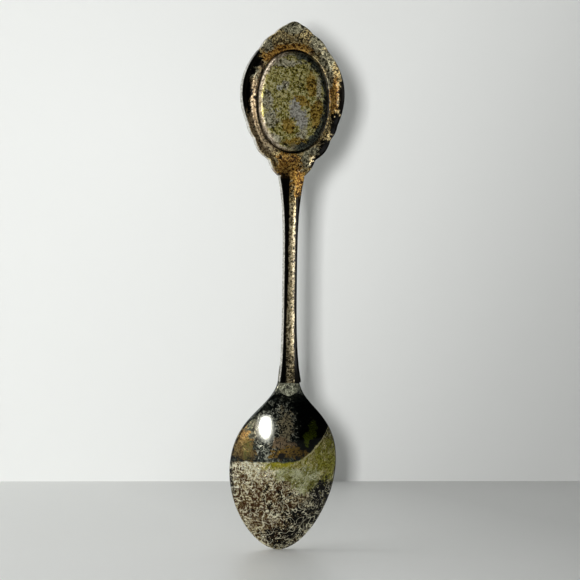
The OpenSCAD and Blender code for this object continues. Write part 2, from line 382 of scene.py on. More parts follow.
class BowlShader(Shader):
    """The bowl's tarnish and painted reflections, laid on in layers. Heights and patches are in mm, as in
    ragged and blob.
    """

    def __init__(self):
        super().__init__("bowl_tarnish_and_painted_reflections")
        self.near = self.wobble(1.3, 0.45)
        self.x, self.z = self.part("X", self.near), self.part("Z", self.near)
        self.mottle = self.noise(0.75, 5.0, 0.75, 1.2)
        self.fine = self.noise(0.5, 3.0, 0.75, 0.8)
        self.broad = self.noise(2.4, 4.0, 0.6)
        self.rag = self.noise(1.5, 5.0, 0.72, 0.8)
        # The line between the painted reflections of the table below and the dark room above
        run = self.math("POWER", self.math("MAXIMUM", self.math("SUBTRACT", self.x, RISE_FROM_X), 0.0), 2.0)
        line = self.math("SUBTRACT", self.z, self.math("MULTIPLY", run, RISE))
        self.level = self.math("SUBTRACT", line, REFLECTION_LINE_Z)
        self.upper = self.step(self.level, -0.2, 0.2)

    def table_reflection_and_tarnish(self):
        """Below the line: a painted reflection of the pale table, cream to the left, tan below, olive to the
        right with a bare pale patch.
        """
        s = self
        cream = s.ramp(s.mottle, *CREAM_TONES)
        tan = s.ramp(s.mottle, *TAN_TONES)
        worn = s.ragged(-2.5, 9.5, 9.5, 7.5, s.rag)
        colour = s.blend(worn, cream, tan)
        umber = s.both(worn, s.step(s.broad, 0.51, 0.45), 0.4)
        colour = s.blend(umber, colour, (0.17, 0.1, 0.035))

        green = s.patches(s.rag, (7.6, 20.0, 6.4, 7.0), (-0.6, 18.9, 4.6, 1.5))
        moss = s.ramp(s.mottle, *MOSS_TONES)
        dry = s.ramp(s.mottle, *DRY_MOSS_TONES)
        colour = s.blend(green, colour, s.blend(s.step(s.broad, 0.49, 0.57), moss, dry))
        bright = s.both(s.ragged(-1.4, 19.2, 2.6, 0.9, s.rag), 0.8)
        colour = s.blend(bright, colour, (0.42, 0.37, 0.025))

        bare = s.patches(s.rag, (4.6, 15.4, 3.4, 3.0), (0.2, 16.6, 3.6, 1.6))
        pale = s.ramp(s.broad, *BARE_TONES)
        pale = s.blend(s.step(s.mottle, 0.47, 0.41), pale, (0.12, 0.11, 0.02))
        pale = s.blend(s.step(s.mottle, 0.55, 0.6), pale, (0.8, 0.79, 0.56))
        return s.blend(bare, colour, pale), s.either(bare, green)

    def specks_over(self, colour, clear):
        """Brown specks to the left, black to the right, thin where the ground is clear."""
        s = self
        cover = s.either(
            s.blob(-3.0, 10.0, 7.0, 6.0, 0.9, s.near),
            s.blob(1.5, 5.0, 9.0, 5.0, 0.8, s.near),
            s.blob(-11.0, 13.0, 2.2, 7.0, 0.8, s.near),
        )
        width = s.span(s.both(cover, s.span(clear, 1.0, 0.1)), 0.008, 0.068)
        specks = s.either(s.worms(1.7, width, 3.0), s.worms(1.1, width, 11.0))
        rightward = s.math("ADD", s.broad, s.math("MULTIPLY", s.x, 0.014))
        dark = s.blend(s.step(rightward, 0.46, 0.56), (0.055, 0.022, 0.007), (0.004, 0.003, 0.002))
        return s.blend(specks, colour, dark), specks

    def crust_over(self, colour):
        """A cracked black crust along the lower right."""
        s = self
        crust = s.patches(s.rag, (9.0, 11.0, 3.8, 4.8), (5.2, 7.2, 5.0, 2.6), (0.4, 3.2, 4.6, 2.0))
        crust = s.both(crust, s.step(s.worms(1.6, 0.022, 7.0), 0.8, 0.2))
        return s.blend(crust, colour, BLACK), crust

    def hairs_over(self, colour, clear):
        """Thin pale lines, most of them near the tip."""
        s = self
        hairs = s.either(
            s.both(s.worms(3.0, 0.014, 21.0, 1.0, 0.4), s.step(s.broad, 0.46, 0.54)),
            s.both(s.worms(1.7, 0.012, 35.0, 1.0, 0.6), s.step(s.rag, 0.48, 0.56)),
            s.both(s.worms(2.3, 0.017, 51.0, 1.0, 0.3), s.blob(1.0, 5.5, 9.0, 5.5, 0.6, s.near)),
        )
        hairs = s.both(hairs, s.span(clear, 1.0, 0.25))
        return s.blend(hairs, colour, (0.95, 0.9, 0.68)), hairs

    def dark_reflection_and_tarnish(self):
        """Above the line: a near-black painted reflection of the dark room, darkest to the right, with
        tarnish, a painted highlight and a painted warm reflection over it; and the share of its haze and
        painted glow.
        """
        s = self
        dark_reflection_and_tarnish = s.ramp(s.fine, *DARK_REFLECTION_TONES)
        dark_reflection_and_tarnish = s.blend(s.step(s.x, 0.0, 3.0), dark_reflection_and_tarnish, (0.003, 0.004, 0.003))
        # Pale speckled haze round the highlight: tarnish haze and a painted glow of the highlight
        haze_and_glow = s.patches(s.rag, (-4.1, 25.4, 3.6, 6.4), (-1.6, 26.6, 3.0, 5.4))
        fog = s.ramp(s.fine, *FOG_TONES)
        dark_reflection_and_tarnish = s.blend(haze_and_glow, dark_reflection_and_tarnish, fog)
        # Painted highlight: an even pale patch where the window lamp's highlight falls
        dark_reflection_and_tarnish = s.blend(s.blob(-5.3, 26.7, 1.9, 2.8, 0.6, s.near), dark_reflection_and_tarnish, (0.42, 0.43, 0.39))

        # Clouds of tan, rose and rust, speckled: patches, where the noise lets them through, colour
        clouds = (
            (((-0.9, 27.0, 1.7, 3.6),), (0.44, 0.56), (0.36, 0.31, 0.19)),
            (((-2.2, 23.6, 1.8, 1.5), (0.2, 22.6, 1.4, 1.6)), (0.4, 0.55), (0.27, 0.19, 0.11)),
            (((-0.6, 21.4, 3.6, 1.3), (3.4, 20.8, 2.2, 0.9)), (0.4, 0.52), (0.22, 0.13, 0.02)),
        )
        for patches, gate, tint in clouds:
            dark_reflection_and_tarnish = s.blend(s.both(s.patches(s.rag, *patches), s.step(s.fine, *gate)), dark_reflection_and_tarnish, tint)
        dark_reflection_and_tarnish = s.blend(s.blob(-1.85, 20.8, 0.75, 0.75, 0.5, s.near), dark_reflection_and_tarnish, BLACK)
        olive = s.patches(s.rag, (5.3, 26.5, 1.1, 2.0), (3.9, 24.6, 0.9, 1.6))
        dark_reflection_and_tarnish = s.blend(olive, dark_reflection_and_tarnish, (0.12, 0.155, 0.008))

        # A painted reflection of a warm light to the left, in gold tones
        warm_reflection = s.patches(s.rag, (-10.6, 23.6, 2.2, 4.4), (-8.8, 21.6, 1.4, 2.8))
        gold = s.ramp(s.mottle, *WARM_REFLECTION_TONES)
        dark_reflection_and_tarnish = s.blend(warm_reflection, dark_reflection_and_tarnish, gold)
        lime = s.both(s.blob(-8.9, 22.0, 0.9, 2.4, 0.8, s.near), s.step(s.fine, 0.42, 0.56), 0.7)
        dark_reflection_and_tarnish = s.blend(lime, dark_reflection_and_tarnish, (0.16, 0.17, 0.045))
        brink = s.both(s.step(s.level, 1.7, 0.7), s.step(s.fine, 0.56, 0.48), s.step(s.x, 5.0, 2.0))
        return s.blend(brink, dark_reflection_and_tarnish, (0.004, 0.006, 0.006)), haze_and_glow

    def neck_over(self, colour):
        """Dark neck, solder smeared round the joint, tang, and a bright line along the reflection line."""
        s = self
        dark = s.ramp(s.fine, *NECK_TONES)
        colour = s.blend(s.step(s.z, 31.5, 33.5), colour, dark)
        crumbs = s.either(s.worms(1.0, 0.03, 5.0), s.step(s.fine, 0.52, 0.6))
        smear = s.both(s.blob(0.0, 35.4, 3.4, 2.6, 0.5, s.near), crumbs)
        colour = s.blend(smear, colour, (0.3, 0.3, 0.22))
        tang = s.ramp(s.fine, *TANG_TONES)
        colour = s.blend(s.step(s.z, 36.4, 37.2), colour, tang)
        from_line = s.math("ABSOLUTE", s.math("ADD", s.level, 0.3))
        ridge = s.both(s.step(from_line, 0.3, 0.12), s.step(s.x, 2.0, 4.5), 0.75)
        return s.blend(ridge, colour, (0.9, 0.8, 0.46))

    def front_over(self, colour):
        """The hollow's lighter lining, and the black lip."""
        s = self
        facing = s.facing("Y")
        hollow = s.step(facing, 0.1, 0.4)
        lining = s.ramp(s.mottle, *LINING_TONES)
        lining = s.blend(s.worms(1.2, 0.022, 3.0), lining, (0.05, 0.03, 0.012))
        colour = s.blend(hollow, colour, lining)
        lip = s.both(s.step(facing, -0.8, -0.7), s.step(facing, 0.5, 0.2), s.step(s.z, 11.0, 14.0))
        return s.blend(s.both(lip, s.step(s.mottle, 0.62, 0.5)), colour, BLACK), hollow


def bowl_material():
    s = BowlShader()
    colour, clear = s.table_reflection_and_tarnish()
    colour, specks = s.specks_over(colour, clear)
    colour, crust = s.crust_over(colour)
    colour, hairs = s.hairs_over(colour, clear)
    dark_reflection_and_tarnish, haze_and_glow = s.dark_reflection_and_tarnish()
    colour = s.neck_over(s.blend(s.upper, colour, dark_reflection_and_tarnish))
    colour, hollow = s.front_over(colour)

    mirror = s.both(s.upper, s.inverse(hollow))
    misty = s.both(haze_and_glow, mirror)
    dull = s.both(s.either(specks, crust), s.inverse(s.upper))
    rough = s.math("ADD", s.span(s.mottle, 0.1, 0.24), s.both(dull, 0.3))
    relief = s.math("SUBTRACT", s.both(dull, 0.8), s.both(hairs, 0.5))
    return s.set(
        Base_Color=colour,
        Metallic=s.span(misty, 0.97, 0.7),
        Roughness=s.math("SUBTRACT", rough, s.both(misty, 0.04), clamp=True),
        Normal=s.bump(s.math("ADD", relief, s.both(s.fine, 0.4)), 0.02),
        Coat_Weight=s.span(s.both(mirror, s.span(haze_and_glow, 1.0, 0.3)), 0.08, 0.45),
        Coat_Roughness=0.05,
    )


# Tones of the stem and the finial plate
STEM_TONES = ((0.43, (0.03, 0.02, 0.007)), (0.5, (0.36, 0.28, 0.13)), (0.57, (0.86, 0.76, 0.52)))
UMBER_TONES = ((0.45, (0.006, 0.004, 0.002)), (0.5, (0.24, 0.15, 0.045)), (0.57, (0.95, 0.78, 0.38)))
RUST_TONES = ((0.44, (0.03, 0.009, 0.001)), (0.5, (0.36, 0.145, 0.013)), (0.57, (0.84, 0.52, 0.12)))
ASH_TONES = ((0.43, (0.02, 0.018, 0.008)), (0.5, (0.26, 0.245, 0.15)), (0.57, (0.68, 0.66, 0.48)))
DULL_GOLD_TONES = ((0.42, (0.03, 0.016, 0.006)), (0.49, (0.22, 0.15, 0.075)), (0.56, (0.52, 0.42, 0.26)))
# Pale tones for the painted reflection on the side walls facing left
LIT_WALL_TONES = ((0.42, (0.3, 0.29, 0.25)), (0.56, (0.82, 0.81, 0.76)))

# Patches of the stem and the finial plate, (x, z, half-width, half-height) in mm
# Dull gold on the left inner flange, also painted light where it faces the light
GOLD_AND_LIT_PATCHES = ((-8.4, 97.0, 2.6, 9.5), (-6.0, 89.0, 3.4, 3.2))
RUST_PATCHES = (
    (-0.6, 83.0, 3.4, 3.6), (1.6, 80.0, 1.6, 4.0), (9.2, 99.2, 1.3, 4.4), (1.6, 109.0, 4.2, 1.1),
    (-3.0, 108.6, 2.6, 1.0), (-5.4, 107.4, 1.8, 1.3),
)
ASH_PATCHES = (
    (-0.2, 113.8, 2.8, 1.5), (5.2, 110.2, 1.8, 1.9), (7.4, 106.8, 1.7, 2.4), (-6.0, 109.4, 1.4, 1.4),
    (3.2, 85.4, 0.9, 1.9), (5.0, 87.0, 1.9, 1.1), (-9.0, 104.6, 1.2, 2.6), (8.2, 103.0, 1.0, 2.6),
)
# Black soot and painted shade on the outer left flange and the lower right edge
SOOT_AND_SHADE_PATCHES = (
    (-9.9, 106.6, 2.3, 3.4), (-11.3, 100.0, 1.8, 6.6), (-11.2, 94.0, 0.9, 5.0), (9.9, 91.6, 1.5, 4.0),
    (7.8, 87.4, 2.0, 2.4), (5.6, 84.6, 1.1, 2.0), (11.2, 98.0, 0.9, 7.0),
)


def stem_soot_and_shade(s, x, z, coarse, rag, finial):
    """Soot in spots and patches, at the stem's lower end and in the plate's groove, and painted shade along
    both edges of the stem and on the plate's shaded patches.
    """
    leftward = s.math("ADD", x, s.span(s.step(z, 60.0, 48.0), 0.0, 0.4))
    groove = s.oval_length(0, EMBLEM_Z, CUP_A + 0.2, CUP_B + 0.2)
    return s.either(
        s.step(coarse, 0.565, 0.62),
        s.patches(rag, *SOOT_AND_SHADE_PATCHES),
        # Painted shade along the stem's left and right edges
        s.both(s.step(leftward, -0.3, -0.6), s.step(z, 84.0, 80.5)),
        s.both(s.step(x, 0.8, 1.0), s.step(z, 79.0, 76.0)),
        s.both(s.step(z, 46.0, 39.0), s.step(coarse, 0.52, 0.47), 0.9),
        s.both(s.step(groove, 1.035, 1.005), finial),
    )


def stem_material():
    s = Shader("stem_tarnish_and_painted_light")
    near = s.wobble(0.9, 0.3)
    x, z = s.part("X", near), s.part("Z", near)
    grain = s.noise(0.5, 4.0, 0.75, 1.0)
    coarse = s.noise(1.1, 4.0, 0.7, 0.8)
    rag = s.noise(1.8, 5.0, 0.72, 0.8)
    tan = s.ramp(grain, *STEM_TONES)
    umber = s.ramp(grain, *UMBER_TONES)
    rust = s.ramp(grain, *RUST_TONES)
    ash = s.ramp(grain, *ASH_TONES)
    gold = s.ramp(grain, *DULL_GOLD_TONES)
    lit_silver = s.ramp(grain, *LIT_WALL_TONES)

    finial = s.step(z, 71.0, 77.0)
    colour = s.blend(s.both(finial, s.step(rag, 0.36, 0.46)), tan, umber)
    # Dull gold, also painted light on the left inner flange
    colour = s.blend(s.patches(rag, *GOLD_AND_LIT_PATCHES), colour, gold)
    for patch in RUST_PATCHES:
        colour = s.blend(s.both(s.ragged(*patch, rag), 0.9), colour, rust)
    for patch in ASH_PATCHES:
        colour = s.blend(s.both(s.ragged(*patch, rag), 0.85), colour, ash)
    # Black soot and painted shade
    soot_and_shade = stem_soot_and_shade(s, x, z, coarse, rag, finial)
    colour = s.blend(soot_and_shade, colour, SOOT_AND_SHADE_COLOUR)
    # Painted reflection: the side walls facing left are pale silver, as on the lit side
    lit_left_wall = s.both(s.step(s.facing("X"), -0.75, -0.92), s.step(s.facing("Y"), 0.3, 0.1))
    colour = s.blend(lit_left_wall, colour, lit_silver)

    # The stem and the plate's right edge are duller, apart from a glint high on the stem
    shank = s.span(s.step(z, 84.0, 80.0), 0.0, 0.14)
    right_edge = s.span(s.step(s.part("X"), 6.0, 8.0), 0.0, 0.2)
    dulled = s.both(s.either(shank, right_edge), s.inverse(s.blob(0.5, 75.0, 0.6, 6.0, 0.6)))
    rough = s.math("ADD", s.span(rag, 0.2, 0.36), s.both(soot_and_shade, 0.12))
    return s.set(
        Base_Color=colour,
        Metallic=s.span(soot_and_shade, 0.66, 0.97),
        Roughness=s.math("ADD", rough, dulled, clamp=True),
        Normal=s.bump(s.math("ADD", grain, s.both(coarse, 0.6)), 0.03),
        Coat_Weight=s.span(soot_and_shade, 0.25, 0.05),
        Coat_Roughness=0.12,
    )


# Tones of the emblem's cup, whose underside is the boss on the finial's back
BOSS_TONES = (
    (0.43, (0.06, 0.052, 0.004)), (0.48, (0.45, 0.39, 0.06)), (0.53, (0.95, 0.84, 0.3)),
    (0.58, (1.0, 0.95, 0.58)),
)
CLOUD_TONES = ((0.42, (0.1, 0.09, 0.04)), (0.49, (0.62, 0.56, 0.36)), (0.56, (1.0, 0.96, 0.76)))
AMBER_TONES = ((0.42, (0.06, 0.026, 0.002)), (0.49, (0.42, 0.23, 0.02)), (0.56, (0.8, 0.54, 0.1)))
LILAC_TONES = ((0.44, (0.3, 0.27, 0.2)), (0.5, (0.62, 0.6, 0.53)), (0.56, (0.95, 0.93, 0.84)))
TEAL_TONES = ((0.46, (0.004, 0.005, 0.004)), (0.58, (0.16, 0.18, 0.14)))
RUBBED_TONES = ((0.44, (0.12, 0.095, 0.06)), (0.54, (0.62, 0.53, 0.42)))

# Patches of the boss, (x, z from the emblem's centre, half-width, half-height) in mm
# Pale patches; those along the boss's left edge also paint the highlight on its lit shoulder
CLOUD_AND_GLINT_PATCHES = (
    (-5.9, 0.2, 1.1, 2.2), (-5.2, -3.9, 1.8, 1.9), (-4.6, -8.4, 1.9, 1.2), (2.0, -7.0, 1.1, 1.5),
    (5.6, 3.2, 0.7, 3.4), (-2.6, 8.4, 3.4, 0.9), (-2.0, 3.4, 0.8, 0.9),
)
AMBER_PATCHES = (
    (3.9, 3.4, 1.3, 2.6), (1.4, 0.0, 1.8, 1.2), (-0.9, -5.4, 1.7, 1.4), (5.2, -2.6, 1.5, 3.2),
    (1.0, -9.0, 3.0, 1.0),
)
LILAC_PATCHES = ((0.1, -1.7, 1.5, 1.9), (1.7, -3.9, 1.6, 2.0))
BRIGHT_PATCH = (-3.3, 2.8, 0.75, 0.6)


def on_boss(patch):
    x, z, rx, rz = patch
    return x, EMBLEM_Z + z, rx, rz


def cup_material():
    s = Shader("cup_tarnish_and_painted_light")
    grain = s.noise(0.66, 4.0, 0.75, 1.3)
    coarse = s.noise(1.1, 4.0, 0.7, 0.8)
    rag = s.noise(1.5, 5.0, 0.72, 0.9)
    colour = s.ramp(grain, *BOSS_TONES)
    cloud = s.ramp(grain, *CLOUD_TONES)
    amber = s.ramp(grain, *AMBER_TONES)
    lilac = s.ramp(grain, *LILAC_TONES)
    teal = s.ramp(grain, *TEAL_TONES)
    rubbed = s.ramp(grain, *RUBBED_TONES)

    # Pale patches, partly a painted highlight on the boss's left shoulder
    for patch in CLOUD_AND_GLINT_PATCHES:
        colour = s.blend(s.both(s.ragged(*on_boss(patch), rag), 0.9), colour, cloud)
    for patch in AMBER_PATCHES:
        colour = s.blend(s.both(s.ragged(*on_boss(patch), rag), 0.85), colour, amber)
    bald = s.patches(rag, *map(on_boss, LILAC_PATCHES))
    colour = s.blend(bald, colour, lilac)
    bright = s.both(s.ragged(*on_boss(BRIGHT_PATCH), rag), s.step(grain, 0.44, 0.5))
    colour = s.blend(bright, colour, (0.95, 0.93, 0.78))

    # Painted shade with some grime on the top and right of the boss's shoulder, a rubbed edge elsewhere
    ring = s.oval_length(0, EMBLEM_Z, CUP_A, CUP_B)
    outer_band = s.step(s.math("ADD", ring, s.both(rag, 0.55)), 1.08, 1.16)
    shade_and_grime = s.both(outer_band, s.step(s.part("X"), -3.0, 1.5))
    colour = s.blend(shade_and_grime, colour, teal)
    pits = s.both(s.step(coarse, 0.57, 0.62), s.inverse(bald))
    colour = s.blend(s.both(pits, 0.9), colour, (0.01, 0.009, 0.004))
    torn_ring = s.math("ADD", ring, s.both(s.math("SUBTRACT", rag, 0.5), 0.3))
    edge = s.both(s.step(torn_ring, 0.89, 0.95), s.inverse(shade_and_grime))
    colour = s.blend(s.both(edge, 0.95), colour, rubbed)
    return s.set(
        Base_Color=colour,
        Metallic=0.92,
        Roughness=s.math("ADD", s.span(grain, 0.3, 0.4), s.both(edge, 0.05)),
        Normal=s.bump(s.math("SUBTRACT", grain, pits), 0.03),
        Coat_Weight=0.2,
        Coat_Roughness=0.15,
    )


SOLDER_TONES = ((0.42, (0.07, 0.075, 0.05)), (0.49, (0.36, 0.37, 0.26)), (0.56, (0.72, 0.73, 0.56)))


def solder_material():
    s = Shader("cracked_solder")
    grain = s.noise(0.5, 4.0, 0.75, 1.0)
    cracks = s.either(s.worms(1.1, 0.045, 5.0), s.worms(0.8, 0.03, 17.0))
    colour = s.ramp(grain, *SOLDER_TONES)
    colour = s.blend(s.both(cracks, 0.85), colour, (0.012, 0.012, 0.01))
    return s.set(
        Base_Color=colour,
        Metallic=0.6,
        Roughness=s.span(grain, 0.35, 0.6),
        Normal=s.bump(s.math("SUBTRACT", grain, cracks), 0.04),
    )


def enamel_material(name, colour, deep):
    s = Shader(name)
    cloud = s.noise(2.4, 4.0, 0.6, 0.5)
    flecks = s.step(s.noise(0.25, 2.0, 0.5), 0.62, 0.7)
    shade = s.blend(s.step(cloud, 0.3, 0.7), colour, deep)
    shade = s.blend(s.both(flecks, 0.25), shade, tuple(min(1.0, c * 1.8) for c in colour))
    return s.set(
        Base_Color=shade,
        Roughness=s.span(cloud, 0.08, 0.2),
        Normal=s.bump(cloud, 0.02),
        Coat_Weight=0.6,
        Coat_Roughness=0.04,
    )


def brass_material():
    s = Shader("brass_lines")
    grain = s.noise(0.35, 3.0, 0.6)
    colour = s.blend(s.step(grain, 0.35, 0.65), (0.72, 0.52, 0.2), (0.5, 0.34, 0.12))
    rough = s.span(grain, 0.2, 0.38)
    return s.set(Base_Color=colour, Metallic=1.0, Roughness=rough, Normal=s.bump(grain, 0.01))


def cement_material():
    s = Shader("resin_cement")
    grain = s.noise(0.4, 4.0, 0.7)
    colour = s.blend(s.step(grain, 0.3, 0.7), (0.62, 0.57, 0.43), (0.48, 0.43, 0.31))
    return s.set(Base_Color=colour, Roughness=s.span(grain, 0.45, 0.7), Normal=s.bump(grain, 0.03))


def dome_material():
    """Clear resin. Rays from lamps pass straight through, so that the enamel under it is lit."""
    s = Shader("clear_dome")
    marks = s.step(s.noise(1.1, 4.0, 0.7), 0.5, 0.75)
    s.set(
        Base_Color=(0.99, 0.99, 0.97),
        Transmission_Weight=1.0,
        IOR=1.49,
        Roughness=s.span(marks, 0.0, 0.05),
        Normal=s.bump(s.noise(3.5, 2.0), 0.004),
    )
    to_lamp = s.add("ShaderNodeLightPath").outputs["Is Shadow Ray"]
    clear = s.add("ShaderNodeBsdfTransparent")
    s.mix_surfaces(to_lamp, s.bsdf.outputs[0], clear.outputs[0])
    return s.material


# --- Bowl ---

RIM_H = 0.7  # height of the rim's outer wall
EDGE = 0.3  # rounding of the rim's back edge
GAUGE = 0.95  # thickness of the sheet at the bottom of the bowl
DEPTH = 4.7  # how far the back bulges beyond the rim
WIDEST_Z = 18.4
DEEPEST_Z = WIDEST_Z - 1.4
HOLLOW_TOP = 34.6
BLEND_Z = 33.5  # from here up the back turns into the lap on the stem's end
LAP_T = 1.05
TANG_HALF = 1.9
RIM_AT_LAP, RIM_AT_TANG = -0.5, -0.05
# The rim seen from the side, as (z, y from MID_Y)
RIM_PATH = (
    (0, 4.75), (8, 4.2), (15, 3.05), (22, 1.6), (27, 0.4), (31, -0.45),
    (LAP_Z, RIM_AT_LAP), (TANG_Z, RIM_AT_TANG),
)
# The outline from the tip up, in shares of the half-width and WIDEST_Z, and from there up to the neck, in mm
LOW = ((0, 0), (0.458, 0), (1, 0.51), (1, 1))
NECK = (2.25, 38.0)
HIGH = ((BOWL_HALF, WIDEST_Z), (BOWL_HALF, 30.4), (2.5, 31.2), NECK)


def lap_y(z):
    """Underside of the neck, where it lies on the stem."""
    return mix(RIM_AT_LAP, RIM_AT_TANG, (z - LAP_Z) / (TANG_Z - LAP_Z)) - LAP_T


def depth_share(z):
    """The bowl's depth along its middle, as a share of the greatest."""
    if z >= HOLLOW_TOP:
        return 0.0
    if z < DEEPEST_Z:
        return 1 - ((DEEPEST_Z - z) / DEEPEST_Z) ** 2
    return (1 - ((z - DEEPEST_Z) / (HOLLOW_TOP - DEEPEST_Z)) ** 2) ** 1.3


def bowl_back(z, s):
    """Level of the back at this share of the half-width."""
    free = along(RIM_PATH, z) - RIM_H - DEPTH * depth_share(z) * (1 - s * s)
    return mix(free, lap_y(z), ease((z - BLEND_Z) / (LAP_Z - BLEND_Z)))


def bowl_loop(w, z, cols=30):
    """The bowl's section at this height: its back, right rim, hollow and left rim."""
    y = along(RIM_PATH, z)
    k = min(1.0, w / 1.4)  # the rim's rounding shrinks where the bowl is narrow
    inner_half = w - 0.62 * k
    depth = max(0.0, DEPTH * depth_share(z) + RIM_H - GAUGE)
    flat = w - EDGE * k
    low = bowl_back(z, 1)
    mid = (low + y) / 2
    right = [
        (flat, bowl_back(z, 1 - EDGE * k / w)), (w - 0.1 * k, mix(low, mid, 0.1)), (w, mix(low, mid, 0.55)),
        (w, mix(mid, y, 0.5)), (w - 0.07 * k, y - 0.06), (w - 0.22 * k, y), (w - 0.42 * k, y - 0.02),
    ]
    shares = [2 * j / cols - 1 for j in range(1, cols)]
    loop = [(flat * s, bowl_back(z, flat * s / w), z) for s in shares]
    loop += [(x, v, z) for x, v in right]
    loop += [(inner_half * s, y - depth * (1 - s * s) ** 0.95, z) for s in reversed(shares)]
    loop += [(-x, v, z) for x, v in reversed(right)]
    return [(x, v + MID_Y, z) for x, v, z in loop]


def build_bowl(material):
    start = 0.012  # share of the lower curve left off at the tip, where the loops would shrink to a point
    tip = bezier(LOW, start)[1]
    stations = []
    for i in range(34):
        w, z = bezier(LOW, mix(start, 1, (i / 34) ** 1.35))
        stations.append((w * BOWL_HALF, (z - tip) * WIDEST_Z))
    stations += [bezier(HIGH, i / 44) for i in range(45)]
    stations += [(mix(NECK[0], TANG_HALF, t), mix(NECK[1], TANG_Z, t)) for t in (0.35, 0.7, 0.95)]
    stations += [(TANG_HALF - 0.06, TANG_Z)]
    bowl = skin("bowl_shell", [bowl_loop(w, z) for w, z in stations])
    place(bowl, "bowl", material)


# --- Stem ---

STEM_HALF = 1.47
STEM_T = 2.3
CHANNEL = 0.35  # depth of the channel along the back
RIDGE = 0.45  # height of the ridge along the front
SEAM = 0.12  # how far the stem and the plate each reach into the solder between them
# The stem's middle seen from the side, as (z, y from MID_Y), and its half-widths below and above
STEM_PATH = (
    (LAP_Z, RIM_AT_LAP - STEM_T / 2), (TANG_Z, RIM_AT_TANG - STEM_T / 2),
    (46, -0.7), (56, -0.25), (66, -0.05), (75, 0.03), (ROOT_Z, 0.05),
)
STEM_LOW = ((2.55, LAP_Z), (1.75, 39.6), (STEM_HALF, 46), (STEM_HALF, 55))
STEM_HIGH = ((STEM_HALF, 62), (STEM_HALF, 70), (1.6, 75.5), (ROOT_HALF, STEM_TOP))


def channel(s):
    return CHANNEL * max(0.0, 1 - s * s) ** 1.5


def stem_loop(w, z, cols=14):
    """The stem's section at this height. Under the tang its front is flat."""
    y = along(STEM_PATH, z) + MID_Y
    back, front = y - STEM_T / 2, y + STEM_T / 2
    shares = [2 * j / cols - 1 for j in range(1, cols)]
    loop = [((w - 0.14) * s, back + channel(s), z) for s in shares]
    right = [
        (w - 0.14, back + 0.01), (w - 0.03, back + 0.07), (w, back + 0.25), (w, mix(back, front, 0.5)),
        (w, front - 0.72), (w - 0.06, front - 0.55), (w - 0.26, front - RIDGE),
    ]
    if z < TANG_Z:
        top = lap_y(z) + MID_Y - 0.02
        right = [(x, min(v, top - 0.03 * i)) for i, (x, v) in enumerate(right)][:4] + [
            (w, top - 0.2), (w - 0.04, top - 0.06), (w - 0.2, top),
        ]
        tops = [((w - 0.26) * s, top, z) for s in reversed(shares)]
    else:
        tops = [((w - 0.3) * s, front - RIDGE + RIDGE * (1 - abs(s)) ** 0.8, z) for s in reversed(shares)]
    loop += [(x, v, z) for x, v in right]
    loop += tops
    loop += [(-x, v, z) for x, v in reversed(right)]
    return loop


def build_stem(material):
    stations = [bezier(STEM_LOW, i / 14) for i in range(15)] + [bezier(STEM_HIGH, i / 20) for i in range(21)]
    rows = [(w, z) for w, z in stations if z < TANG_Z - 0.3]
    rows += [(TANG_HALF + 0.04, TANG_Z + d) for d in (-0.12, -0.02, 0.03, 0.15)]
    rows += [(w, z) for w, z in stations if z > TANG_Z + 0.4]
    rows += [(ROOT_HALF, STEM_TOP + SEAM)]
    stem = skin("stem_bar", [stem_loop(w, z) for w, z in rows])
    place(stem, "stem", material)


# --- Finial plate ---

SHOULDER = (1.6, 114.3)
CORNERS = (
    (ROOT_HALF, ROOT_Z), (5.13, 85), (8.54, 89.5), (10.1, 92.7), (7.43, 109.1), (4.18, 112.3), SHOULDER,
)
# Each side of the plate is a row of arcs between the corners, which bulge by so much
BULGES = (0.4, 0.7, 0.3, PLATE_HALF - 8.82, 0.45, 0.25)
ARC_STEPS = (6, 8, 5, 30, 7, 6)


def arc(p, q, bulge, n):
    """Points from p towards q, bulging outwards."""
    d = (q[0] - p[0], q[1] - p[1])
    size = math.hypot(*d)
    out = (d[1] / size, -d[0] / size)
    found = []
    for i in range(n):
        t = i / n
        lift = bulge * 4 * t * (1 - t)
        found.append((p[0] + d[0] * t + out[0] * lift, p[1] + d[1] * t + out[1] * lift))
    return found


def plate_outline():
    right = []
    for i in range(len(BULGES)):
        right += arc(CORNERS[i], CORNERS[i + 1], BULGES[i], ARC_STEPS[i])
    right += [SHOULDER, (1.15, 114.62), (0.7, 114.85), (0.3, 114.97), (0, TOP_Z)]
    left = [(-x, z) for x, z in reversed(right[:-1])]
    root = [(ROOT_HALF * s, ROOT_Z) for s in (-0.75, -0.5, -0.25, 0, 0.25, 0.5, 0.75)]
    return right + left + root


# The plate's back at shares of the way from the opening to the edge, as levels from MID_Y
BACK_PROFILE = (
    (0, -0.3), (0.05, -0.52), (0.12, -0.6), (0.2, -0.5), (0.3, -0.3), (0.42, -0.18), (0.55, -0.18),
    (0.66, -0.3), (0.76, -0.58), (0.85, -0.86), (0.92, -0.97), (0.975, -0.96),
)
FRONT_SHARES = (0.97, 0.93, 0.89, 0.84, 0.77, 0.69, 0.6, 0.5, 0.42, 0.36, 0.3, 0.2, 0.1, 0.0)
FLUTES = 56


def plate_front(r, angle):
    """Level of the front: a fluted crown inside a raised edge."""
    level = 0.9
    if r > 0.3:
        crown = math.sin(math.pi * (r - 0.3) / 0.7)
        flutes = 0.5 + 0.5 * math.cos(angle * FLUTES)
        level += 0.42 * crown + 0.26 * flutes * crown
    if r > 0.9:
        level += 0.22
    return level


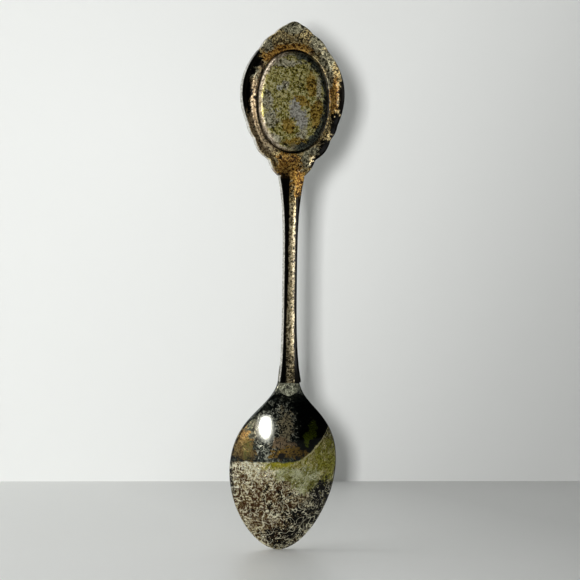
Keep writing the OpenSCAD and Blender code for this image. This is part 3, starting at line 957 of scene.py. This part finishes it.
def plate_loop(p):
    """The plate's section from its opening to this point of its outline and back."""
    angle = math.atan2(p[1] - EMBLEM_Z, p[0])
    hole = oval_ray(CUP_A + 0.15, CUP_B + 0.15, angle)
    at_root = abs(p[0]) <= ROOT_HALF and p[1] < ROOT_Z + 0.01
    if at_root:
        p = (p[0], ROOT_Z - SEAM)
        stem_back = along(STEM_PATH, ROOT_Z) - STEM_T / 2 + channel(p[0] / ROOT_HALF)
    points = []
    for r, y in BACK_PROFILE:
        points.append((r, mix(y, stem_back, ease((r - 0.35) / 0.45)) if at_root else y))
    points += [(1.0, stem_back + 0.02 if at_root else -0.82), (1.0, -0.3), (1.0, 0.4), (1.0, 0.98)]
    points += [(r, plate_front(r, angle)) for r in FRONT_SHARES]
    points += [(0.0, 0.3)]
    return [(mix(hole[0], p[0], r), y + MID_Y, mix(hole[1], p[1], r)) for r, y in points]


def build_plate(material):
    plate = skin("finial_plate", [plate_loop(p) for p in plate_outline()], ring=True)
    place(plate, "finial_frame", material)


# --- Emblem ---

OVAL_STEPS = 96


def oval_loop(a, b, y):
    loop = []
    for i in range(OVAL_STEPS):
        x, z = oval(a, b, 2 * math.pi * i / OVAL_STEPS)
        loop.append((x, y + MID_Y, z))
    return loop


def build_cup(material):
    boss = BOSS_BACK - MID_Y
    lip = CUP_FRONT - MID_Y
    # From the middle of the boss round the collar and the bezel's lip to the middle of the floor, as
    # (how far outside the cup's oval, level)
    rings = (
        (-5.5, boss), (-3.0, boss), (-1.6, boss), (-1.0, boss + 0.01), (-0.72, boss + 0.06),
        (-0.45, boss + 0.17), (-0.22, boss + 0.36), (-0.06, boss + 0.6), (0, boss + 0.9),
        (0, 0.2), (0, 0.84), (0.06, 0.9),
        (COLLAR - 0.06, 0.9), (COLLAR, 0.94), (COLLAR, 1.18), (COLLAR - 0.08, 1.26), (0.42, 1.3), (0.3, 1.4),
        (0.16, lip - 0.02), (-0.1, lip), (-0.4, lip - 0.03), (-0.66, lip - 0.14), (-0.78, lip - 0.3),
        (-0.8, 1.1), (-0.8, 0.0), (-0.8, -0.44), (-0.86, -0.5), (-3.0, -0.5), (-5.5, -0.5),
    )
    cup = skin("emblem_bezel", [oval_loop(CUP_A + d, CUP_B + d, y) for d, y in rings])
    place(cup, "emblem_cup", material)


def build_dome(material):
    a, b = dome_hi.x, (dome_hi.z - dome_lo.z) / 2
    foot, top = dome_lo.y - MID_Y + 0.02, dome_hi.y - MID_Y
    loops = [oval_loop(a * k, b * k, foot) for k in (0.3, 0.7, 0.97, 0.995)]
    for i in range(11):
        angle = math.radians(87) * i / 10
        k = math.cos(angle)
        loops.append(oval_loop(a * k, b * k, mix(foot + 0.08, top, math.sin(angle))))
    dome = skin("emblem_cover", loops)
    place(dome, "emblem_dome", material)


# --- Solder patch at the bowl's neck ---

PATCH_FOOT_Z = 33.75
PATCH_CURVE = 4.5  # half-width of the curve that the patch's underside follows


def build_patch(material):
    rows, cols = 16, 22
    loops = []
    for i in range(rows + 1):
        t = i / rows
        z = mix(PATCH_FOOT_Z, LAP_Z - 0.02, t)
        reach = mix(0.5, 2.22, ease(t * 2.4) ** 0.7)
        loop = []
        for j in range(cols + 1):
            s = 2 * j / cols - 1
            x = reach * s
            swell = ease((1 - abs(s)) * 3.2) * ease(t * 3.0)
            lumps = 0.05 * math.sin(x * 5.1 + z * 3.7) * math.cos(z * 6.3 - x * 2.2)
            top = bowl_back(z, x / PATCH_CURVE) - 0.015 - (0.1 + 0.3 * ease(t * 1.3) + lumps) * swell
            loop.append((x, top + MID_Y, z))
        under = [(p[0], bowl_back(z, p[0] / PATCH_CURVE) + 0.04 + MID_Y, z) for p in reversed(loop)]
        loops.append(loop + under)
    patch = skin("neck_solder", loops)
    place(patch, "bowl_solder", material)


# --- Build ---

silver_stem = stem_material()
build_bowl(bowl_material())
build_stem(silver_stem)
build_plate(silver_stem)
build_cup(cup_material())
build_dome(dome_material())
build_patch(solder_material())

KEPT = {
    "finial_solder": silver_stem,
    "cup_solder": silver_stem,
    "emblem_cement": cement_material(),
    "emblem_plate": brass_material(),
    "enamel_sky": enamel_material("sky_enamel", (0.3, 0.56, 0.8), (0.12, 0.36, 0.66)),
    "enamel_sun": enamel_material("sun_enamel", (0.9, 0.5, 0.06), (0.75, 0.3, 0.03)),
    "enamel_hills": enamel_material("hills_enamel", (0.1, 0.3, 0.09), (0.04, 0.17, 0.05)),
    "enamel_water": enamel_material("water_enamel", (0.02, 0.13, 0.36), (0.01, 0.06, 0.22)),
}
for node, material in KEPT.items():
    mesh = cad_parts[node].data
    mesh.materials.clear()
    mesh.materials.append(material)


# --- Camera ---

DISTANCE = 0.6
AZIMUTH = math.radians(-16.0)
ROLL = math.radians(1.1)
SENSOR = 36.0
VIEW_WIDTH = 580 / 4.6 * MM  # what the picture's width of 580 holds at the spoon, with 4.6 to the mm
TARGET = Vector((0, 0, 56.7 * MM))
LOOK_SIDE = 0.44 * MM

back = Vector((math.sin(AZIMUTH), -math.cos(AZIMUTH), 0))
side = Vector((math.cos(AZIMUTH), math.sin(AZIMUTH), 0))
camera = bpy.data.objects.new("camera", bpy.data.cameras.new("camera"))
bpy.context.scene.collection.objects.link(camera)
bpy.context.scene.camera = camera
camera.data.sensor_width = SENSOR
camera.data.lens = SENSOR * DISTANCE / VIEW_WIDTH
camera.data.clip_start = 0.01
camera.location = TARGET + side * LOOK_SIDE + back * DISTANCE
aim = (-back).to_track_quat("-Z", "Y").to_matrix() @ Matrix.Rotation(ROLL, 3, "Z")
camera.rotation_euler = aim.to_euler()


# --- Stage ---

WALL_MIDDLE = -back * DISTANCE * 0.363  # a little over a third of the camera's distance beyond the spoon
# Painted shade on the table and wall: darker towards the right, and on the wall towards the lower right
TABLE_SHADE_TONES = ((-70, 0.8), (0, 0.77), (90, 0.53))
WALL_SHADE_TONES = ((-110, 0.87), (15, 0.84), (46, 0.79), (77, 0.72), (109, 0.645), (140, 0.594))
SHADE_SLANT = 0.65  # how far a tone moves to the right for each mm up the wall


def stage_plane(name, corners, material):
    """A flat piece of the stage. Its corners are in metres."""
    obj = make_object(name, [tuple(c / MM for c in p) for p in corners], [tuple(range(len(corners)))])
    obj.data.materials.append(material)
    return obj


def card_shader(name, rough, tones):
    """Pale card with painted shade: its tone changes from left to right, through (mm, tone) stops."""
    s = Shader(name)
    grain = s.noise(4.0, 4.0, 0.6)
    first, last = tones[0][0], tones[-1][0]
    slant = s.math("MULTIPLY", s.part("Z"), SHADE_SLANT)
    run = s.step_along(s.math("SUBTRACT", s.part("X"), slant), first, last)
    stops = [((mm - first) / (last - first), (t, t * 1.012, t * 0.99)) for mm, t in tones]
    s.set(
        Base_Color=s.blend(s.both(grain, 0.02), s.ramp(run, *stops), (0.5, 0.5, 0.5)),
        Roughness=s.span(grain, rough - 0.03, rough + 0.03),
        Normal=s.bump(grain, 0.02),
    )
    return s


def wall_material():
    """The wall can't be seen from behind, so that it doesn't hide the spoon in the other views."""
    s = card_shader("pale_wall", 0.8, WALL_SHADE_TONES)
    from_behind = s.add("ShaderNodeNewGeometry").outputs["Backfacing"]
    gone = s.add("ShaderNodeBsdfTransparent")
    s.mix_surfaces(from_behind, s.bsdf.outputs[0], gone.outputs[0])
    return s.material


def on_wall(right, up):
    """A point on the wall, this far to the right of its middle, in metres."""
    return WALL_MIDDLE.x + right, WALL_MIDDLE.y, up


table_corners = [(-1.6, -1.4, 0), (1.6, -1.4, 0), (1.6, 1.6, 0), (-1.6, 1.6, 0)]
table = stage_plane("table", table_corners, card_shader("pale_table", 0.42, TABLE_SHADE_TONES).material)
wall_corners = [on_wall(-1.5, 0), on_wall(1.5, 0), on_wall(1.5, 1.4), on_wall(-1.5, 1.4)]
wall = stage_plane("wall", wall_corners, wall_material())
wall.visible_shadow = False


# --- Light ---


def lamp(name, azimuth, elevation, distance, size, power, colour=(1, 1, 1), shape="RECTANGLE"):
    """An area lamp aimed at the camera's target: degrees, metres and watts."""
    a, e = math.radians(azimuth), math.radians(elevation)
    out = Vector((math.sin(a) * math.cos(e), -math.cos(a) * math.cos(e), math.sin(e)))
    data = bpy.data.lights.new(name, "AREA")
    data.shape = shape
    data.size, data.size_y = size
    data.energy = power
    data.color = colour
    obj = bpy.data.objects.new(name, data)
    obj.location = TARGET + out * distance
    obj.rotation_euler = out.to_track_quat("Z", "Y").to_euler()
    obj.visible_camera = False
    bpy.context.scene.collection.objects.link(obj)
    return obj


def only_on(light, name, objects, state="INCLUDE"):
    """The lamp lights these objects alone, or all but these."""
    group = bpy.data.collections.new(name)
    bpy.context.scene.collection.children.link(group)
    for obj in objects:
        group.objects.link(obj)
    for entry in group.collection_objects:
        entry.light_linking.link_state = state
    light.light_linking.receiver_collection = group


# Lamps for the spoon
lamps = (
    lamp("key", -70, 42, 0.9, (0.5, 0.5), 3.4),
    lamp("left_strip", -82, 6, 0.7, (0.12, 0.5), 0.8, (1.0, 0.97, 0.9)),
    lamp("warm_panel", -43, 1, 0.62, (0.24, 0.24), 0.5, (1.0, 0.84, 0.62)),
    lamp("window", -20.2, 5.8, 0.56, (0.13, 0.165), 0.8, (1.0, 0.98, 0.95), "ELLIPSE"),
    lamp("rear", 150, 40, 1.0, (0.7, 0.5), 3.0),
)
for number, light in enumerate(lamps):
    only_on(light, f"not_by_lamp_{number}", (wall, table), "EXCLUDE")

# A small lamp just to the camera's left lights the wall, so that the spoon's shadow lies just to its right
wash = lamp("wall_wash", math.degrees(AZIMUTH) - 1.4, 0.6, DISTANCE, (0.014, 0.02), 0.95)
wash.data.spread = math.radians(90)
wash.rotation_euler = (wash.location - Vector(on_wall(-0.05, 0.1))).to_track_quat("Z", "Y").to_euler()
only_on(wash, "by_wall_wash", (wall,))
table_light = lamp("table_light", -78, 38, 0.5, (0.5, 0.5), 1.55)
only_on(table_light, "by_table_light", (table,))

# The room lights all things with an even grey, but what metal and glass reflect of it is dark on the
# camera's side and pale beyond the spoon
EVEN = (0.86, 0.87, 0.86, 1)
EVEN_STRENGTH = 0.34
DARK = (0.012, 0.014, 0.014, 1)
PALE = (0.5, 0.5, 0.48, 1)


def room_world():
    world = bpy.data.worlds.new("room")
    world.use_nodes = True
    nodes, links = world.node_tree.nodes, world.node_tree.links
    nodes.clear()
    even = nodes.new("ShaderNodeBackground")
    even.inputs["Color"].default_value = EVEN
    even.inputs["Strength"].default_value = EVEN_STRENGTH
    split = nodes.new("ShaderNodeSeparateXYZ")
    links.new(nodes.new("ShaderNodeTexCoord").outputs["Generated"], split.inputs[0])
    ramp = nodes.new("ShaderNodeValToRGB")
    links.new(split.outputs["Y"], ramp.inputs["Fac"])
    for element, position, colour in zip(ramp.color_ramp.elements, (0.0, 0.5), (DARK, PALE)):
        element.position = position
        element.color = colour
    mirrored = nodes.new("ShaderNodeBackground")
    links.new(ramp.outputs["Color"], mirrored.inputs["Color"])
    choice = nodes.new("ShaderNodeMixShader")
    links.new(nodes.new("ShaderNodeLightPath").outputs["Is Glossy Ray"], choice.inputs[0])
    links.new(even.outputs[0], choice.inputs[1])
    links.new(mirrored.outputs[0], choice.inputs[2])
    links.new(choice.outputs[0], nodes.new("ShaderNodeOutputWorld").inputs["Surface"])
    return world


bpy.context.scene.world = room_world()
bpy.context.scene.view_settings.view_transform = "Standard"
